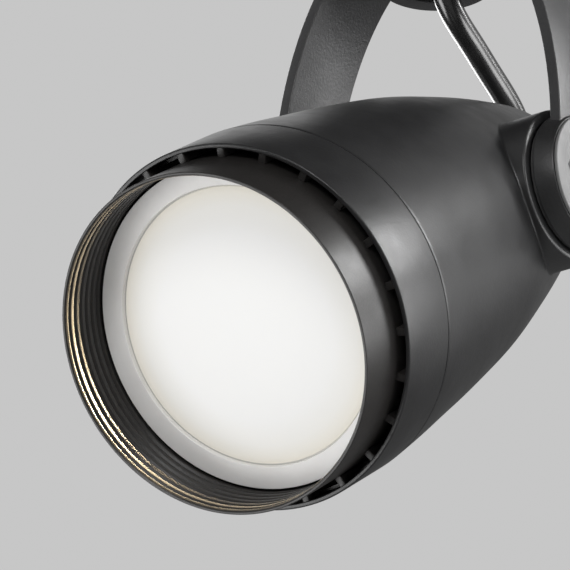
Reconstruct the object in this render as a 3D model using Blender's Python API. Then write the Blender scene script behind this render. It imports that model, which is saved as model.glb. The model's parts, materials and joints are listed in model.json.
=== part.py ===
"""Ellipsoidal track spotlight: egg-shaped lamp head in a flat-bar yoke under a track adapter.

Lengths in the tables and constants are millimetres; objects are made in metres, +Z up.
The world origin is on the adapter's seat face, on the pan axis. The tilt axis is parallel to X.
"""

import math

import bmesh
import bpy
import numpy as np
from mathutils import Matrix, Vector

for old in list(bpy.data.objects):
    bpy.data.objects.remove(old, do_unlink=True)

MM = 0.001
GAP = 0.3
SEGMENTS = 40
SMALL_SEGMENTS = 24

# tilt axis below the seat face, and how far the lamp head leans below horizontal
PIVOT_DROP = 130.0
TILT = math.radians(34.1)

# tail hole for the flex
TAIL_HOLE_R = 7.2
TAIL_HOLE_ABOVE = 1.5

# lamp head, stations measured forward along the optical axis from the tilt axis
TAIL_S = -52.0
SEAM_S = 88.0
COLLAR_FRONT_S = 109.4
COLLAR_R = 50.0
SNOOT_FRONT_S = 125.1
SNOOT_R = 46.2
SNOOT_BACK_S = 90.0
BAFFLES = 7
BAFFLE_PITCH = 2.7
FIRST_CREST_S = 124.55
RIBS = 24
RIB_HALF_ANGLE = math.radians(1.3)

# tilt pivot
BOSS_R = 22.0
BOSS_FACE_X = 43.9
DRUM_R = 20.0
DRUM_RIM_R = 18.5
DRUM_IN_X = 45.0
DRUM_OUT_X = 51.0
DISC_R = 18.1
DISC_FACE_X = 52.1
POCKET_R = 12.6
BOLT_R = 11.9
SOCKET_R = 3.5

# yoke: flat bar bent to half an ellipse on straight legs
BAR_W = 25.8
BAR_T = 3.4
ARCH_Z = 16.1
ARCH_HALF_X = 50.0
ARCH_RISE = 84.0

# swivel hub under the arch and the hollow swivel tube
HUB_R = 16.8
HUB_BORE_R = 11.0
HUB_BOTTOM_Z = 75.5
HUB_TOP_Z = 90.4
TUBE_R = 6.6
TUBE_BORE_R = 5.6

# adapter box and cover plate
BOX_X = 32.0
BOX_Y = 72.0
BOX_BOTTOM_Z = 103.6
COVER_T = 2.4
COVER_Y = 124.0
INSERT_X = 24.0
INSERT_Y = 72.0
INSERT_H = 12.0
CAM_Y = 53.0

# light engine
SCREW_X = 21.0
FINS = 9
FIN_PITCH = 6.0
FIN_T = 1.6

# flex
CORD_R = 3.7
CORD_Y = 1.6
CORD_TOP_Z = 115.6
CORD_STEP = 4.0
TERMINAL_END_S = 7.7
TAIL_BEND_R = 16.9
TAIL_BEND_CENTRE = Vector((0.0, 25.6, 37.2))
BOOT_MOUTH_Z = 43.0
BOOT_ROOT_S = -56.2

PIVOT = Vector((0.0, 0.0, -PIVOT_DROP))
FORWARD = Vector((0.0, -math.cos(TILT), -math.sin(TILT)))
ABOVE = Vector((0.0, -math.sin(TILT), math.cos(TILT)))


def material(name, colour, metallic, roughness):
    """A Principled material."""
    made = bpy.data.materials.new(name)
    made.use_nodes = True
    made.diffuse_color = (*colour, 1.0)
    shader = made.node_tree.nodes["Principled BSDF"]
    shader.inputs["Base Color"].default_value = (*colour, 1.0)
    shader.inputs["Metallic"].default_value = metallic
    shader.inputs["Roughness"].default_value = roughness
    return made


BLACK_PAINT = material("black_powder_coat", (0.022, 0.022, 0.023), 0.1, 0.45)
BLACK_ANODISED = material("black_anodised", (0.03, 0.028, 0.026), 0.5, 0.5)
WHITE_PLASTIC = material("white_retainer_plastic", (0.78, 0.78, 0.77), 0.0, 0.4)
FROSTED = material("frosted_lens", (0.93, 0.92, 0.88), 0.0, 0.6)
SILVER = material("brushed_aluminium", (0.62, 0.62, 0.62), 1.0, 0.38)
STEEL = material("zinc_steel", (0.5, 0.5, 0.5), 1.0, 0.35)
DARK_STEEL = material("blackened_steel", (0.06, 0.06, 0.06), 0.9, 0.4)
RUBBER = material("black_rubber", (0.02, 0.02, 0.02), 0.0, 0.75)
FLEX = material("flex_sheath", (0.012, 0.012, 0.012), 0.0, 0.3)
SILICONE = material("silicone_gasket", (0.45, 0.45, 0.44), 0.0, 0.6)
REFLECTIVE = material("bright_reflector", (0.85, 0.85, 0.86), 1.0, 0.15)
PHOSPHOR = material("led_phosphor", (0.9, 0.72, 0.2), 0.0, 0.6)
CERAMIC = material("led_board_white", (0.8, 0.8, 0.78), 0.0, 0.5)
PAD = material("thermal_pad_grey", (0.35, 0.35, 0.37), 0.0, 0.8)
NYLON = material("black_nylon", (0.03, 0.03, 0.03), 0.0, 0.6)
TERMINAL = material("terminal_nylon", (0.75, 0.74, 0.7), 0.0, 0.5)
BOARD = material("circuit_board", (0.03, 0.16, 0.07), 0.0, 0.5)
COPPER = material("contact_copper", (0.72, 0.42, 0.25), 1.0, 0.35)
COIL = material("coil_tape_yellow", (0.75, 0.6, 0.15), 0.0, 0.6)
CAN = material("capacitor_sleeve", (0.04, 0.05, 0.12), 0.0, 0.4)


def place(x_axis, y_axis, z_axis, origin):
    """Matrix that puts local axes on the given directions at an origin (mm)."""
    turn = Matrix((x_axis, y_axis, z_axis)).transposed().to_4x4()
    return Matrix.Translation(origin) @ turn


RIGHT = Vector((1.0, 0.0, 0.0))
UP = Vector((0.0, 0.0, 1.0))
BACK = Vector((0.0, 1.0, 0.0))
# local z runs forward along the optical axis, local x to the right, local y down in the head
HEAD = place(RIGHT, FORWARD.cross(RIGHT), FORWARD, PIVOT)
# local z runs up the pan axis, heights measured from the tilt axis
PAN = Matrix.Translation(PIVOT)


def pivot_frame(side):
    """Local z runs outward along the tilt axis on one side of the lamp."""
    out = RIGHT * side
    return place(UP.cross(out), UP, out, PIVOT)


def build(name, vertices, faces, slot, frame, origin, smooth=True):
    """One closed mesh object from millimetre vertices in a local frame."""
    mesh = bpy.data.meshes.new(name)
    moved = [(frame @ Vector(v) - origin) * MM for v in vertices]
    mesh.from_pydata([tuple(v) for v in moved], [], faces)
    work = bmesh.new()
    work.from_mesh(mesh)
    bmesh.ops.recalc_face_normals(work, faces=work.faces)
    work.to_mesh(mesh)
    work.free()
    mesh.materials.append(slot)
    made = bpy.data.objects.new(name, mesh)
    made.location = origin * MM
    bpy.context.scene.collection.objects.link(made)
    shade(made, smooth)
    return made


def shade(made, smooth):
    """Smooth shading with sharp edges kept, or flat."""
    mesh = made.data
    mesh.polygons.foreach_set("use_smooth", [smooth] * len(mesh.polygons))
    if smooth:
        mesh.set_sharp_from_angle(angle=math.radians(32.0))


def lathe(name, profile, slot, frame, origin, segments=SEGMENTS):
    """Solid of revolution about local z from (station, radius) pairs.

    A profile whose first and last radii are 0 is closed on the axis; any other is a closed ring.
    """
    capped = profile[0][1] == 0.0 and profile[-1][1] == 0.0
    vertices = []
    rings = []
    for station, radius in profile:
        if radius == 0.0:
            rings.append([len(vertices)])
            vertices.append((0.0, 0.0, station))
            continue
        rings.append(list(range(len(vertices), len(vertices) + segments)))
        for i in range(segments):
            turn = 2.0 * math.pi * i / segments
            vertices.append((radius * math.cos(turn), radius * math.sin(turn), station))
    pairs = list(zip(rings, rings[1:]))
    if not capped:
        pairs.append((rings[-1], rings[0]))
    faces = []
    for a, b in pairs:
        for i in range(segments):
            j = (i + 1) % segments
            if len(a) == 1:
                faces.append((a[0], b[i], b[j]))
            elif len(b) == 1:
                faces.append((a[i], b[0], a[j]))
            else:
                faces.append((a[i], b[i], b[j], a[j]))
    return build(name, vertices, faces, slot, frame, origin)


def prism(name, outline, low, high, slot, frame, origin, smooth=False):
    """A flat outline in local x, y raised from z = low to z = high."""
    count = len(outline)
    vertices = [(x, y, low) for x, y in outline] + [(x, y, high) for x, y in outline]
    faces = [tuple(range(count)), tuple(range(count, 2 * count))]
    for i in range(count):
        j = (i + 1) % count
        faces.append((i, j, count + j, count + i))
    return build(name, vertices, faces, slot, frame, origin, smooth)


def rectangle(x, y, cx=0.0, cy=0.0):
    """Outline of a rectangle by its full sizes."""
    return [
        (cx - x / 2, cy - y / 2),
        (cx + x / 2, cy - y / 2),
        (cx + x / 2, cy + y / 2),
        (cx - x / 2, cy + y / 2),
    ]


def polygon(radius, count, cx=0.0, cy=0.0, start=0.0):
    """Outline of a regular polygon by its corner radius."""
    step = 2.0 * math.pi / count
    return [
        (cx + radius * math.cos(start + i * step), cy + radius * math.sin(start + i * step))
        for i in range(count)
    ]


def combine(target, tools, operation):
    """Joins or cuts with the tool solids, then removes the tools."""
    for tool in tools:
        modifier = target.modifiers.new("cut", "BOOLEAN")
        modifier.operation = operation
        modifier.solver = "EXACT"
        modifier.object = tool
    bpy.context.view_layer.update()
    graph = bpy.context.evaluated_depsgraph_get()
    result = bpy.data.meshes.new_from_object(target.evaluated_get(graph))
    target.modifiers.clear()
    target.data = result
    result.name = target.name
    for tool in tools:
        bpy.data.objects.remove(tool, do_unlink=True)
    work = bmesh.new()
    work.from_mesh(result)
    bmesh.ops.remove_doubles(work, verts=work.verts, dist=0.00001)
    bmesh.ops.dissolve_degenerate(work, edges=work.edges, dist=0.00001)
    work.to_mesh(result)
    work.free()
    shade(target, True)
    return target


def rod(radius, low, high, frame, origin, cx=0.0, cy=0.0, segments=SMALL_SEGMENTS):
    """A plain round bar used as a cutting or joining tool."""
    outline = polygon(radius, segments, cx, cy)
    return prism("tool", outline, low, high, BLACK_PAINT, frame, origin)


def head_lathe(name, profile, slot, segments=SEGMENTS):
    return lathe(name, profile, slot, HEAD, PIVOT, segments)


# ---------------------------------------------------------------- lamp head shell

OUTER = [
    (TAIL_S, 0.0), (TAIL_S, 10.2), (-51.3, 13.8), (-49.4, 17.4), (-46.4, 20.6), (-41.0, 24.6),
    (-31.0, 28.5), (-20.6, 31.7), (-10.6, 34.5), (-0.6, 37.0), (9.4, 39.4), (19.4, 41.5),
    (29.4, 43.1), (39.4, 44.5), (49.4, 45.8), (61.0, 47.1), (74.0, 48.6), (SEAM_S, 49.9),
]
CAVITY = [
    (SEAM_S, 47.3), (74.0, 46.1), (61.0, 44.5), (50.0, 43.3), (50.0, 41.0), (39.4, 41.0),
    (29.4, 40.3), (19.4, 38.7), (9.4, 36.6), (-0.6, 34.2), (-10.6, 31.7), (-20.6, 28.9),
    (-31.0, 25.5), (-41.0, 21.3), (-45.0, 17.8), (-47.6, 13.6), (-49.0, 9.6), (-49.0, 0.0),
]


def cavity_solid(name):
    """The inside of the rear housing as a solid."""
    profile = CAVITY[::-1] + [(SEAM_S, 0.0)]
    return head_lathe(name, profile, BLACK_PAINT)


housing = head_lathe("rear_housing", OUTER + CAVITY, BLACK_PAINT)
for side in (1, -1):
    boss = lathe("tool", [
        (20.0, 0.0), (20.0, BOSS_R), (BOSS_FACE_X - 0.5, BOSS_R),
        (BOSS_FACE_X, BOSS_R - 0.5), (BOSS_FACE_X, 0.0),
    ], BLACK_PAINT, pivot_frame(side), PIVOT, 32)
    combine(boss, [cavity_solid("cutter")], "DIFFERENCE")
    combine(housing, [boss], "UNION")
    combine(housing, [rod(3.7, 36.2, 46.0, pivot_frame(side), PIVOT)], "DIFFERENCE")
combine(housing, [rod(TAIL_HOLE_R, -56.0, -44.0, HEAD, PIVOT, 0.0, TAIL_HOLE_ABOVE)], "DIFFERENCE")

head_lathe("front_collar", [
    (SEAM_S + GAP, 46.4), (SEAM_S + GAP, 49.9), (109.0, COLLAR_R), (COLLAR_FRONT_S, 49.7),
    (COLLAR_FRONT_S, 49.0), (109.1, 48.7), (98.6, 48.7), (98.6, 46.5), (89.6, 46.5), (89.6, 44.6),
    (83.0, 44.6), (83.0, 46.4),
], BLACK_PAINT)


def ribbed_ring(name, back, front, outer, root, crest, slot):
    """Ring with short ribs standing inward from its bore."""
    angles = []
    for i in range(RIBS):
        middle = 2.0 * math.pi * i / RIBS
        for step, radius in ((-1.5, root), (-1.0, crest), (1.0, crest), (1.5, root)):
            angles.append((middle + step * RIB_HALF_ANGLE, radius))
    count = len(angles)
    vertices = []
    for station, fixed in ((back, None), (front, None), (front, outer), (back, outer)):
        for angle, radius in angles:
            r = radius if fixed is None else fixed
            vertices.append((r * math.cos(angle), r * math.sin(angle), station))
    faces = []
    for k in range(4):
        m = (k + 1) % 4
        for i in range(count):
            j = (i + 1) % count
            faces.append((k * count + i, k * count + j, m * count + j, m * count + i))
    return build(name, vertices, faces, slot, HEAD, PIVOT)


ribbed_ring("vent_spacer", 99.0, 109.0, 48.4, 47.7, SNOOT_R + GAP, BLACK_ANODISED)

snoot_profile = [(SNOOT_BACK_S, SNOOT_R), (SNOOT_FRONT_S - 0.2, SNOOT_R), (SNOOT_FRONT_S, 46.0),
                 (SNOOT_FRONT_S, 45.2)]
for i in range(BAFFLES):
    crest_s = FIRST_CREST_S - i * BAFFLE_PITCH
    snoot_profile += [(crest_s, 45.05), (crest_s - BAFFLE_PITCH / 2.0, 45.6)]
snoot_profile += [(FIRST_CREST_S - BAFFLES * BAFFLE_PITCH, 44.9), (SNOOT_BACK_S, 44.9)]
head_lathe("snoot_tube", snoot_profile, BLACK_ANODISED)

# ---------------------------------------------------------------- lens, light engine

head_lathe("lens_retainer", [
    (107.9, 38.3), (107.9, 44.4), (100.4, 44.4), (100.4, 40.1), (106.3, 40.1), (106.3, 38.3),
], WHITE_PLASTIC)
head_lathe("diffuser_lens", [
    (108.7, 0.0), (108.5, 13.0), (107.9, 26.0), (107.0, 35.5), (106.6, 38.0), (106.0, 38.0),
    (106.0, 39.8), (104.2, 39.8), (104.2, 37.0), (105.2, 26.0), (106.2, 0.0),
], FROSTED)
head_lathe("lens_gasket", [(103.9, 37.3), (103.9, 39.8), (102.6, 39.8), (102.6, 37.3)], SILICONE)
head_lathe("reflector", [
    (57.2, 9.8), (62.0, 17.0), (70.0, 23.5), (80.0, 29.5), (90.0, 34.0), (102.3, 37.6),
    (102.3, 39.8), (101.1, 39.8), (101.1, 38.6), (90.0, 35.2), (80.0, 30.7), (70.0, 24.7),
    (62.0, 18.2), (57.2, 11.0),
], REFLECTIVE)
head_lathe("led_emitter", [(55.5, 0.0), (55.5, 7.0), (56.1, 7.0), (56.1, 0.0)], PHOSPHOR,
           SMALL_SEGMENTS)
prism("led_board", rectangle(19.0, 19.0), 54.5, 55.2, CERAMIC, HEAD, PIVOT)
prism("thermal_pad", rectangle(22.0, 22.0), 53.6, 54.2, PAD, HEAD, PIVOT)
holder = head_lathe("led_holder", [(53.6, 0.0), (53.6, 17.5), (56.9, 17.5), (56.9, 0.0)],
                    TERMINAL, SMALL_SEGMENTS)
combine(holder, [
    prism("tool", rectangle(22.6, 22.6), 53.0, 55.5, BLACK_PAINT, HEAD, PIVOT),
    rod(8.6, 52.0, 58.0, HEAD, PIVOT),
], "DIFFERENCE")

plate = head_lathe("mounting_plate", [(50.3, 0.0), (50.3, 42.8), (53.3, 42.8), (53.3, 0.0)], SILVER)
combine(plate, [rod(1.8, 49.0, 55.0, HEAD, PIVOT, x, 0.0, 12) for x in (SCREW_X, -SCREW_X)],
        "DIFFERENCE")

half = (FINS - 1) / 2 * FIN_PITCH + FIN_T / 2
comb = [(-half, 50.0), (-half, 24.0)]
for i in range(FINS - 1):
    right_edge = -half + i * FIN_PITCH + FIN_T
    next_left = -half + (i + 1) * FIN_PITCH
    comb += [(right_edge, 24.0), (right_edge, 46.6), (next_left, 46.6), (next_left, 24.0)]
comb += [(half, 24.0), (half, 50.0)]
ACROSS = place(RIGHT, FORWARD, RIGHT.cross(FORWARD), PIVOT)
sink = prism("heat_sink", comb, -24.0, 24.0, SILVER, ACROSS, PIVOT)
combine(sink, [rod(1.8, 46.0, 51.0, HEAD, PIVOT, x, 0.0, 12) for x in (SCREW_X, -SCREW_X)],
        "DIFFERENCE")
for index, x in enumerate((SCREW_X, -SCREW_X), start=1):
    lathe(f"plate_screw_{index}", [
        (44.0, 0.0), (44.0, 1.5), (53.6, 1.5), (53.6, 2.8), (54.8, 2.8), (55.4, 1.9), (55.4, 0.0),
    ], STEEL, HEAD @ Matrix.Translation((x, 0.0, 0.0)), PIVOT, 12)

prism("terminal_plate", rectangle(40.0, 26.0), 22.2, 23.7, SILVER, HEAD, PIVOT)
prism("head_terminal", rectangle(18.0, 13.0), 8.0, 21.9, TERMINAL, HEAD, PIVOT)

# ---------------------------------------------------------------- tilt pivots

for side, word in ((1, "right"), (-1, "left")):
    frame = pivot_frame(side)
    lathe(f"friction_washer_{word}", [
        (BOSS_FACE_X + 0.25, 4.4), (BOSS_FACE_X + 0.25, 19.2), (44.75, 19.2), (44.75, 4.4),
    ], NYLON, frame, PIVOT, 32)
    bolt = prism(f"pivot_bolt_{word}", polygon(BOLT_R, 6), 47.8, 50.2, DARK_STEEL, frame, PIVOT)
    combine(bolt, [lathe("tool", [
        (36.5, 0.0), (36.5, 3.4), (44.4, 3.4), (44.4, 4.0), (48.4, 4.0), (48.4, 0.0),
    ], DARK_STEEL, frame, PIVOT, SMALL_SEGMENTS)], "UNION")
    combine(bolt, [prism("tool", polygon(SOCKET_R, 6), 48.8, 52.0, BLACK_PAINT, frame, PIVOT)],
            "DIFFERENCE")
    disc = lathe(f"pivot_disc_{word}", [
        (DRUM_OUT_X + 0.25, 0.0), (DRUM_OUT_X + 0.25, DISC_R), (DISC_FACE_X - 0.3, DISC_R),
        (DISC_FACE_X, DISC_R - 0.3), (DISC_FACE_X, 0.0),
    ], SILVER, frame, PIVOT, 36)
    combine(disc, [prism("tool", polygon(POCKET_R, 6), 50.0, 53.0, BLACK_PAINT, frame, PIVOT)],
            "DIFFERENCE")

# ---------------------------------------------------------------- yoke, hub and swivel


def arch(half_x, rise, count=30):
    """Half ellipse from the right leg over the top to the left leg, as (x, z)."""
    return [
        (half_x * math.cos(math.pi * i / count), ARCH_Z + rise * math.sin(math.pi * i / count))
        for i in range(count + 1)
    ]


outside = [(ARCH_HALF_X, 0.0)] + arch(ARCH_HALF_X, ARCH_RISE) + [(-ARCH_HALF_X, 0.0)]
inside = arch(ARCH_HALF_X - BAR_T, ARCH_RISE - BAR_T)
inside = [(ARCH_HALF_X - BAR_T, 0.0)] + inside + [(-ARCH_HALF_X + BAR_T, 0.0)]
SIDEWAYS = place(RIGHT, UP, RIGHT.cross(UP), PIVOT)
yoke = prism("yoke", outside + inside[::-1], -BAR_W / 2, BAR_W / 2, BLACK_PAINT, SIDEWAYS, PIVOT)
for side in (1, -1):
    frame = pivot_frame(side)
    combine(yoke, [lathe("tool", [
        (DRUM_IN_X, 0.0), (DRUM_IN_X, DRUM_R - 0.4), (DRUM_IN_X + 0.4, DRUM_R),
        (DRUM_OUT_X - 0.2, DRUM_RIM_R), (DRUM_OUT_X, DRUM_RIM_R - 0.2), (DRUM_OUT_X, 0.0),
    ], BLACK_PAINT, frame, PIVOT, 32)], "UNION")
    combine(yoke, [
        prism("tool", polygon(POCKET_R, 6), 47.5, 52.0, BLACK_PAINT, frame, PIVOT),
        rod(4.3, 44.0, 48.0, frame, PIVOT),
    ], "DIFFERENCE")
combine(yoke, [rod(TUBE_R + GAP, 90.0, 104.0, PAN, PIVOT)], "DIFFERENCE")

lathe("swivel_hub", [
    (HUB_BOTTOM_Z, HUB_BORE_R), (HUB_BOTTOM_Z, HUB_R - 0.5), (HUB_BOTTOM_Z + 0.5, HUB_R),
    (HUB_TOP_Z, HUB_R), (HUB_TOP_Z, 9.0), (94.5, 9.0), (94.5, TUBE_R + GAP),
    (88.0, TUBE_R + GAP), (88.0, HUB_BORE_R),
], BLACK_PAINT, PAN, PIVOT, 36)
lathe("swivel_tube", [
    (84.6, TUBE_BORE_R), (84.6, TUBE_R), (112.6, TUBE_R), (112.6, TUBE_BORE_R),
], STEEL, PAN, PIVOT, SMALL_SEGMENTS)


def ring_nut(name, corner, hole, low, high, slot):
    """Hexagon nut with a round hole on the pan axis."""
    nut = prism(name, polygon(corner, 6), low, high, slot, PAN, PIVOT)
    return combine(nut, [rod(hole, low - 1.0, high + 1.0, PAN, PIVOT)], "DIFFERENCE")


ring_nut("swivel_nut", 10.4, TUBE_R + GAP, 84.9, 87.7, STEEL)
ring_nut("retaining_nut", 11.0, TUBE_R + GAP, 106.3, 109.3, STEEL)
lathe("swivel_washer", [
    (100.4, TUBE_R + GAP), (100.4, 12.0), (103.3, 12.0), (103.3, TUBE_R + GAP),
], NYLON, PAN, PIVOT, SMALL_SEGMENTS)

# ---------------------------------------------------------------- track adapter

seat_low = PIVOT_DROP - COVER_T
box = prism("adapter_box", rectangle(BOX_X, BOX_Y), BOX_BOTTOM_Z, seat_low - GAP, BLACK_PAINT,
            PAN, PIVOT)
combine(box, [
    prism("tool", rectangle(BOX_X - 4.0, BOX_Y - 4.0), BOX_BOTTOM_Z + 2.4, 140.0, BLACK_PAINT,
          PAN, PIVOT),
    rod(TUBE_R + GAP, 100.0, 108.0, PAN, PIVOT),
], "DIFFERENCE")
cover = prism("adapter_cover", rectangle(BOX_X, COVER_Y), seat_low, PIVOT_DROP, BLACK_PAINT,
              PAN, PIVOT)
combine(cover, [
    prism("tool", rectangle(INSERT_X, INSERT_Y), PIVOT_DROP - 1.0, PIVOT_DROP + INSERT_H,
          BLACK_PAINT, PAN, PIVOT),
], "UNION")
combine(cover, [
    rod(3.6, seat_low - 2.0, PIVOT_DROP + 2.0, PAN, PIVOT, 0.0, y) for y in (CAM_Y, -CAM_Y)
] + [
    prism("tool", rectangle(INSERT_X - 4.0, INSERT_Y - 4.0), seat_low - 1.0,
          PIVOT_DROP + INSERT_H - 2.0, BLACK_PAINT, PAN, PIVOT),
], "DIFFERENCE")

prism("driver_board", rectangle(24.0, 62.0), 121.0, 122.6, BOARD, PAN, PIVOT)
prism("driver_coil", rectangle(16.0, 18.0, 0.0, 20.0), 122.9, 136.0, COIL, PAN, PIVOT)
lathe("driver_capacitor", [
    (122.9, 0.0), (122.9, 5.0), (137.0, 5.0), (137.0, 0.0),
], CAN, PAN @ Matrix.Translation((0.0, -20.0, 0.0)), PIVOT, SMALL_SEGMENTS)
prism("driver_terminal", rectangle(14.0, 16.0), CORD_TOP_Z + GAP, 120.7, TERMINAL, PAN, PIVOT)

for y, lever_name, cam_name in (
    (CAM_Y, "lock_lever", "lock_cam"),
    (-CAM_Y, "contact_lever", "contact_rotor"),
):
    spot = PIVOT + BACK * y
    frame = Matrix.Translation(spot)
    lever = lathe(lever_name, [
        (118.0, 0.0), (118.0, 7.5), (seat_low - GAP, 7.5), (seat_low - GAP, 3.3), (137.0, 3.3),
        (137.0, 0.0),
    ], BLACK_ANODISED, frame, spot, SMALL_SEGMENTS)
    combine(lever, [
        prism("tool", rectangle(20.0, 7.0, -10.0, 0.0), 118.6, 123.0, BLACK_PAINT, frame, spot),
    ], "UNION")
    if cam_name == "lock_cam":
        cam = prism(cam_name, rectangle(30.0, 9.0), PIVOT_DROP + 3.6, PIVOT_DROP + 6.2, STEEL,
                    frame, spot)
    else:
        cam = prism(cam_name, rectangle(15.0, 13.0), PIVOT_DROP + 0.4, PIVOT_DROP + 6.8, NYLON,
                    frame, spot)
    combine(cam, [rod(3.6, PIVOT_DROP, PIVOT_DROP + 8.0, frame, spot)], "DIFFERENCE")

spot = PIVOT - BACK * CAM_Y
for side, word in ((1, "right"), (-1, "left")):
    prism(f"contact_blade_{word}", rectangle(5.2, 3.0, side * 10.4, 0.0), PIVOT_DROP + 2.4,
          PIVOT_DROP + 3.6, COPPER, Matrix.Translation(spot), spot)

# ---------------------------------------------------------------- flex and its boot


def head_point(station, above):
    """Point in the lamp's middle plane from its station along the optical axis."""
    return FORWARD * station + ABOVE * above


def smooth(keys, step):
    """Evenly spaced points on a natural cubic spline through the key points."""
    keys = np.array([tuple(k) for k in keys])
    spans = np.linalg.norm(np.diff(keys, axis=0), axis=1)
    at = np.concatenate([[0.0], np.cumsum(spans)])
    count = len(at)
    matrix = np.eye(count)
    right = np.zeros((count, 3))
    for i in range(1, count - 1):
        before = spans[i - 1]
        after = spans[i]
        matrix[i, i - 1] = before
        matrix[i, i] = 2.0 * (before + after)
        matrix[i, i + 1] = after
        right[i] = 6.0 * ((keys[i + 1] - keys[i]) / after - (keys[i] - keys[i - 1]) / before)
    bend = np.linalg.solve(matrix, right)
    places = np.linspace(0.0, at[-1], round(at[-1] / step) + 1)
    found = []
    for place_now in places:
        k = min(int(np.searchsorted(at, place_now, side="right")) - 1, count - 2)
        span = spans[k]
        a = (at[k + 1] - place_now) / span
        b = 1.0 - a
        line = a * keys[k] + b * keys[k + 1]
        curve_part = (a**3 - a) * bend[k] + (b**3 - b) * bend[k + 1]
        found.append(Vector(line + curve_part * span * span / 6.0))
    return found


# down the swivel tube, out of the hub, a straight run down and back, and round into the tail
route_keys = [
    Vector((0.0, y, z))
    for y, z in (
        (CORD_Y, CORD_TOP_Z), (CORD_Y, 103.0), (CORD_Y, 92.0), (CORD_Y, 83.0), (3.5, 75.6),
        (8.6, 69.1), (16.9, 63.5), (26.4, 57.2),
    )
]
for degrees in (50, 28, 6, -16, -38, -56):
    angle = math.radians(degrees)
    route_keys.append(TAIL_BEND_CENTRE + BACK * (TAIL_BEND_R * math.cos(angle))
                      + UP * (TAIL_BEND_R * math.sin(angle)))
route_keys += [head_point(-30.0, -0.6), head_point(-16.0, -0.3), head_point(-4.0, 0.0),
               head_point(TERMINAL_END_S, 0.0)]
route = smooth(route_keys, CORD_STEP)

curve = bpy.data.curves.new("supply_flex", "CURVE")
curve.dimensions = "3D"
curve.bevel_depth = CORD_R * MM
curve.bevel_resolution = 3
curve.use_fill_caps = True
spline = curve.splines.new("POLY")
spline.points.add(len(route) - 1)
for point, position in zip(spline.points, route):
    point.co = (*(position * MM), 1.0)
curve.materials.append(FLEX)
flex = bpy.data.objects.new("supply_flex", curve)
flex.location = PIVOT * MM
bpy.context.scene.collection.objects.link(flex)


def sleeve(name, centres, radii, slot, segments=20):
    """Solid round bar along a centre line that lies in the lamp's middle plane."""
    vertices = []
    count = len(centres)
    for i, (centre, radius) in enumerate(zip(centres, radii)):
        along = centres[min(i + 1, count - 1)] - centres[max(i - 1, 0)]
        across = RIGHT.cross(along.normalized())
        for k in range(segments):
            turn = 2.0 * math.pi * k / segments
            vertices.append(centre + (RIGHT * math.cos(turn) + across * math.sin(turn)) * radius)
    last = (count - 1) * segments
    faces = [tuple(range(segments)), tuple(range(last, last + segments))]
    for i in range(count - 1):
        for k in range(segments):
            m = (k + 1) % segments
            a = i * segments
            b = a + segments
            faces.append((a + k, a + m, b + m, b + k))
    return build(name, vertices, faces, slot, PAN, PIVOT)


# moulded boot: plug in the tail hole, domed flange on the tail face, sleeve round the bend
mouth = next(i for i, p in enumerate(route) if p.z < BOOT_MOUTH_Z)
sleeve_line = [p for p in route[mouth:] if p.dot(FORWARD) < BOOT_ROOT_S]
channel = [p for p in route[mouth - 1:] if p.dot(FORWARD) < -42.0]
boot = sleeve("flex_boot", sleeve_line,
              [4.8 + 0.3 * i / len(sleeve_line) for i in range(len(sleeve_line))], RUBBER)
FLANGE = HEAD @ Matrix.Translation((0.0, TAIL_HOLE_ABOVE, 0.0))
flange = lathe("tool", [
    (TAIL_S - 7.6, 0.0), (TAIL_S - 7.4, 3.6), (TAIL_S - 5.8, 6.6), (TAIL_S - 3.2, 8.8),
    (TAIL_S - 1.2, 9.8), (TAIL_S - GAP, 9.8),
    (TAIL_S - GAP, TAIL_HOLE_R - GAP), (-47.6, TAIL_HOLE_R - GAP), (-47.6, 0.0),
], RUBBER, FLANGE, PIVOT, SMALL_SEGMENTS)
combine(boot, [flange], "UNION")
combine(boot, [sleeve("tool", channel, [CORD_R + 0.35] * len(channel), RUBBER)], "DIFFERENCE")
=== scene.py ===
"""Looks of the egg-shaped track spotlight: smooth shells, fine edges, procedural finishes, light and camera.

Lengths in the constants and profiles are millimetres unless a comment says metres. Stations (s) run along the
optical axis from the tilt axis, forward positive. Meshes are made in metres, in the frame of the CAD.
"""

import json
import math

import bmesh
import bpy
import numpy as np
from mathutils import Matrix, Vector


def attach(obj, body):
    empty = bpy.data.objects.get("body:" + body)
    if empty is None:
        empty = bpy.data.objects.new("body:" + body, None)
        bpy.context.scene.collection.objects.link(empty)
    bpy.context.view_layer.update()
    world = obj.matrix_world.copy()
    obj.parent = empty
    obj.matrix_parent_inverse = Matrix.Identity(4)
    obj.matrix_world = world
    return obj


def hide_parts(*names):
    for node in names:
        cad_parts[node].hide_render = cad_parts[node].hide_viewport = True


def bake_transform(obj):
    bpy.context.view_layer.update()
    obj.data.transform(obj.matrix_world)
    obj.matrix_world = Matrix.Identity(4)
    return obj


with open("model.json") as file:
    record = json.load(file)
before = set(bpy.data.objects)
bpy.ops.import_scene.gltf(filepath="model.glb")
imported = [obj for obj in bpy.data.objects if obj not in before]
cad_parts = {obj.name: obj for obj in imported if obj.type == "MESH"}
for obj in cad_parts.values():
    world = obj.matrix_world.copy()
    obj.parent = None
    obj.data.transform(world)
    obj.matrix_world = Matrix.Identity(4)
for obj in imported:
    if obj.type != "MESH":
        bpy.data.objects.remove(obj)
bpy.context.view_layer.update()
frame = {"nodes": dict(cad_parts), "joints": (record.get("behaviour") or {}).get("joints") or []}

MM = 0.001

# segments of round pieces, by how closely they are seen
FINE = 256
HEXED = 192
ROUND = 160
SMALL = 64

# degrees between faces from which an edge stays sharp
CREASE = 35.0

SIDES = ((1, "right"), (-1, "left"))

JOINTS = {joint["name"]: joint for joint in frame["joints"]}
PIVOT = Vector(JOINTS["tilt"]["pos_m"]) / MM
TILT = math.radians(34.1)

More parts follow.
